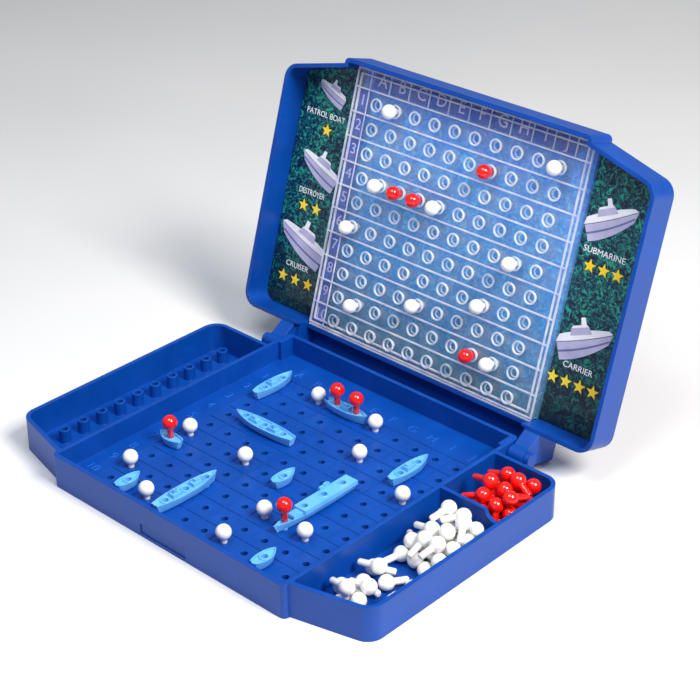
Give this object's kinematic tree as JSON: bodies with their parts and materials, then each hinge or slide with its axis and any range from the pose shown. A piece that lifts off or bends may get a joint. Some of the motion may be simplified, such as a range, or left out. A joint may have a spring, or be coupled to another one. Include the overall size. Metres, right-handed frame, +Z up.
{
  "type": "fleet guessing case",
  "caption": "Hinged plastic travel case for a ship-guessing peg game, open, with a sea tray of plug-in ships, peg bins, and a lid with a printed card under a clear peg panel.",
  "frame": {"origin": "on the table, under the centre of the whole open case", "axes": "+X along the hinge to the player's right, +Y from the player to the hinge, +Z up"},
  "size_m": [0.215, 0.2064, 0.1485],
  "materials": {
    "case_blue_plastic": "injection-moulded blue plastic, satin gloss",
    "ship_blue_plastic": "injection-moulded pale blue plastic, satin gloss",
    "red_plastic": "glossy moulded red plastic",
    "white_plastic": "glossy moulded white plastic",
    "clear_styrene": "clear moulded styrene, polished",
    "printed_card": "printed paperboard with a thin varnish"
  },
  "bodies": {
    "tray": {"base_tray": "case_blue_plastic", "loose_red_pegs": "red_plastic", "loose_white_pegs": "white_plastic"},
    "lid": {"lid_shell": "case_blue_plastic", "game_card": "printed_card", "clear_panel": "clear_styrene", "hinge_pin_left": "case_blue_plastic", "hinge_pin_right": "case_blue_plastic"},
    "carrier": {"carrier": "ship_blue_plastic"},
    "cruiser_left": {"cruiser_left": "ship_blue_plastic"},
    "cruiser_front": {"cruiser_front": "ship_blue_plastic"},
    "destroyer_left": {"destroyer_left": "ship_blue_plastic"},
    "destroyer_back": {"destroyer_back": "ship_blue_plastic"},
    "destroyer_right": {"destroyer_right": "ship_blue_plastic"},
    "boat_left": {"boat_left": "ship_blue_plastic"},
    "boat_front_left": {"boat_front_left": "ship_blue_plastic"},
    "boat_middle": {"boat_middle": "ship_blue_plastic"},
    "boat_front_right": {"boat_front_right": "ship_blue_plastic"},
    "sea_peg_red_1": {"sea_peg_red_1": "red_plastic"},
    "sea_peg_red_2": {"sea_peg_red_2": "red_plastic"},
    "sea_peg_red_3": {"sea_peg_red_3": "red_plastic"},
    "sea_peg_red_4": {"sea_peg_red_4": "red_plastic"},
    "sea_peg_white_1": {"sea_peg_white_1": "white_plastic"},
    "sea_peg_white_2": {"sea_peg_white_2": "white_plastic"},
    "sea_peg_white_3": {"sea_peg_white_3": "white_plastic"},
    "sea_peg_white_4": {"sea_peg_white_4": "white_plastic"},
    "sea_peg_white_5": {"sea_peg_white_5": "white_plastic"},
    "sea_peg_white_6": {"sea_peg_white_6": "white_plastic"},
    "sea_peg_white_7": {"sea_peg_white_7": "white_plastic"},
    "sea_peg_white_8": {"sea_peg_white_8": "white_plastic"},
    "sea_peg_white_9": {"sea_peg_white_9": "white_plastic"},
    "sea_peg_white_10": {"sea_peg_white_10": "white_plastic"},
    "sea_peg_white_11": {"sea_peg_white_11": "white_plastic"},
    "panel_peg_red_1": {"panel_peg_red_1": "red_plastic"},
    "panel_peg_red_2": {"panel_peg_red_2": "red_plastic"},
    "panel_peg_red_3": {"panel_peg_red_3": "red_plastic"},
    "panel_peg_red_4": {"panel_peg_red_4": "red_plastic"},
    "panel_peg_white_1": {"panel_peg_white_1": "white_plastic"},
    "panel_peg_white_2": {"panel_peg_white_2": "white_plastic"},
    "panel_peg_white_3": {"panel_peg_white_3": "white_plastic"},
    "panel_peg_white_4": {"panel_peg_white_4": "white_plastic"},
    "panel_peg_white_5": {"panel_peg_white_5": "white_plastic"},
    "panel_peg_white_6": {"panel_peg_white_6": "white_plastic"},
    "panel_peg_white_7": {"panel_peg_white_7": "white_plastic"},
    "panel_peg_white_8": {"panel_peg_white_8": "white_plastic"},
    "panel_peg_white_9": {"panel_peg_white_9": "white_plastic"},
    "panel_peg_white_10": {"panel_peg_white_10": "white_plastic"}
  },
  "joints": [
    {"name": "lid_hinge", "type": "hinge", "parent": "tray", "child": "lid", "pos_m": [0, 0.0416, 0.0112], "axis": [-1, 0, 0], "range_deg": [-106.4, 0]},
    {"name": "lift_carrier", "type": "slide", "parent": "tray", "child": "carrier", "axis": [0, 0, 1], "range_m": [0, 0.014]},
    {"name": "lift_cruiser_left", "type": "slide", "parent": "tray", "child": "cruiser_left", "axis": [0, 0, 1], "range_m": [0, 0.014]},
    {"name": "lift_cruiser_front", "type": "slide", "parent": "tray", "child": "cruiser_front", "axis": [0, 0, 1], "range_m": [0, 0.014]},
    {"name": "lift_destroyer_left", "type": "slide", "parent": "tray", "child": "destroyer_left", "axis": [0, 0, 1], "range_m": [0, 0.014]},
    {"name": "lift_destroyer_back", "type": "slide", "parent": "tray", "child": "destroyer_back", "axis": [0, 0, 1], "range_m": [0, 0.014]},
    {"name": "lift_destroyer_right", "type": "slide", "parent": "tray", "child": "destroyer_right", "axis": [0, 0, 1], "range_m": [0, 0.014]},
    {"name": "lift_boat_left", "type": "slide", "parent": "tray", "child": "boat_left", "axis": [0, 0, 1], "range_m": [0, 0.014]},
    {"name": "lift_boat_front_left", "type": "slide", "parent": "tray", "child": "boat_front_left", "axis": [0, 0, 1], "range_m": [0, 0.014]},
    {"name": "lift_boat_middle", "type": "slide", "parent": "tray", "child": "boat_middle", "axis": [0, 0, 1], "range_m": [0, 0.014]},
    {"name": "lift_boat_front_right", "type": "slide", "parent": "tray", "child": "boat_front_right", "axis": [0, 0, 1], "range_m": [0, 0.014]},
    {"name": "pull_sea_peg_red_1", "type": "slide", "parent": "boat_left", "child": "sea_peg_red_1", "axis": [0, 0, 1], "range_m": [0, 0.014]},
    {"name": "pull_sea_peg_red_2", "type": "slide", "parent": "destroyer_back", "child": "sea_peg_red_2", "axis": [0, 0, 1], "range_m": [0, 0.014]},
    {"name": "pull_sea_peg_red_3", "type": "slide", "parent": "destroyer_back", "child": "sea_peg_red_3", "axis": [0, 0, 1], "range_m": [0, 0.014]},
    {"name": "pull_sea_peg_red_4", "type": "slide", "parent": "carrier", "child": "sea_peg_red_4", "axis": [0, 0, 1], "range_m": [0, 0.014]},
    {"name": "pull_sea_peg_white_1", "type": "slide", "parent": "tray", "child": "sea_peg_white_1", "axis": [0, 0, 1], "range_m": [0, 0.014]},
    {"name": "pull_sea_peg_white_2", "type": "slide", "parent": "tray", "child": "sea_peg_white_2", "axis": [0, 0, 1], "range_m": [0, 0.014]},
    {"name": "pull_sea_peg_white_3", "type": "slide", "parent": "tray", "child": "sea_peg_white_3", "axis": [0, 0, 1], "range_m": [0, 0.014]},
    {"name": "pull_sea_peg_white_4", "type": "slide", "parent": "tray", "child": "sea_peg_white_4", "axis": [0, 0, 1], "range_m": [0, 0.014]},
    {"name": "pull_sea_peg_white_5", "type": "slide", "parent": "tray", "child": "sea_peg_white_5", "axis": [0, 0, 1], "range_m": [0, 0.014]},
    {"name": "pull_sea_peg_white_6", "type": "slide", "parent": "tray", "child": "sea_peg_white_6", "axis": [0, 0, 1], "range_m": [0, 0.014]},
    {"name": "pull_sea_peg_white_7", "type": "slide", "parent": "tray", "child": "sea_peg_white_7", "axis": [0, 0, 1], "range_m": [0, 0.014]},
    {"name": "pull_sea_peg_white_8", "type": "slide", "parent": "tray", "child": "sea_peg_white_8", "axis": [0, 0, 1], "range_m": [0, 0.014]},
    {"name": "pull_sea_peg_white_9", "type": "slide", "parent": "tray", "child": "sea_peg_white_9", "axis": [0, 0, 1], "range_m": [0, 0.014]},
    {"name": "pull_sea_peg_white_10", "type": "slide", "parent": "tray", "child": "sea_peg_white_10", "axis": [0, 0, 1], "range_m": [0, 0.014]},
    {"name": "pull_sea_peg_white_11", "type": "slide", "parent": "tray", "child": "sea_peg_white_11", "axis": [0, 0, 1], "range_m": [0, 0.014]},
    {"name": "pull_panel_peg_red_1", "type": "slide", "parent": "lid", "child": "panel_peg_red_1", "axis": [0, -0.9593, 0.2823], "range_m": [0, 0.014]},
    {"name": "pull_panel_peg_red_2", "type": "slide", "parent": "lid", "child": "panel_peg_red_2", "axis": [0, -0.9593, 0.2823], "range_m": [0, 0.014]},
    {"name": "pull_panel_peg_red_3", "type": "slide", "parent": "lid", "child": "panel_peg_red_3", "axis": [0, -0.9593, 0.2823], "range_m": [0, 0.014]},
    {"name": "pull_panel_peg_red_4", "type": "slide", "parent": "lid", "child": "panel_peg_red_4", "axis": [0, -0.9593, 0.2823], "range_m": [0, 0.014]},
    {"name": "pull_panel_peg_white_1", "type": "slide", "parent": "lid", "child": "panel_peg_white_1", "axis": [0, -0.9593, 0.2823], "range_m": [0, 0.014]},
    {"name": "pull_panel_peg_white_2", "type": "slide", "parent": "lid", "child": "panel_peg_white_2", "axis": [0, -0.9593, 0.2823], "range_m": [0, 0.014]},
    {"name": "pull_panel_peg_white_3", "type": "slide", "parent": "lid", "child": "panel_peg_white_3", "axis": [0, -0.9593, 0.2823], "range_m": [0, 0.014]},
    {"name": "pull_panel_peg_white_4", "type": "slide", "parent": "lid", "child": "panel_peg_white_4", "axis": [0, -0.9593, 0.2823], "range_m": [0, 0.014]},
    {"name": "pull_panel_peg_white_5", "type": "slide", "parent": "lid", "child": "panel_peg_white_5", "axis": [0, -0.9593, 0.2823], "range_m": [0, 0.014]},
    {"name": "pull_panel_peg_white_6", "type": "slide", "parent": "lid", "child": "panel_peg_white_6", "axis": [0, -0.9593, 0.2823], "range_m": [0, 0.014]},
    {"name": "pull_panel_peg_white_7", "type": "slide", "parent": "lid", "child": "panel_peg_white_7", "axis": [0, -0.9593, 0.2823], "range_m": [0, 0.014]},
    {"name": "pull_panel_peg_white_8", "type": "slide", "parent": "lid", "child": "panel_peg_white_8", "axis": [0, -0.9593, 0.2823], "range_m": [0, 0.014]},
    {"name": "pull_panel_peg_white_9", "type": "slide", "parent": "lid", "child": "panel_peg_white_9", "axis": [0, -0.9593, 0.2823], "range_m": [0, 0.014]},
    {"name": "pull_panel_peg_white_10", "type": "slide", "parent": "lid", "child": "panel_peg_white_10", "axis": [0, -0.9593, 0.2823], "range_m": [0, 0.014]}
  ]
}
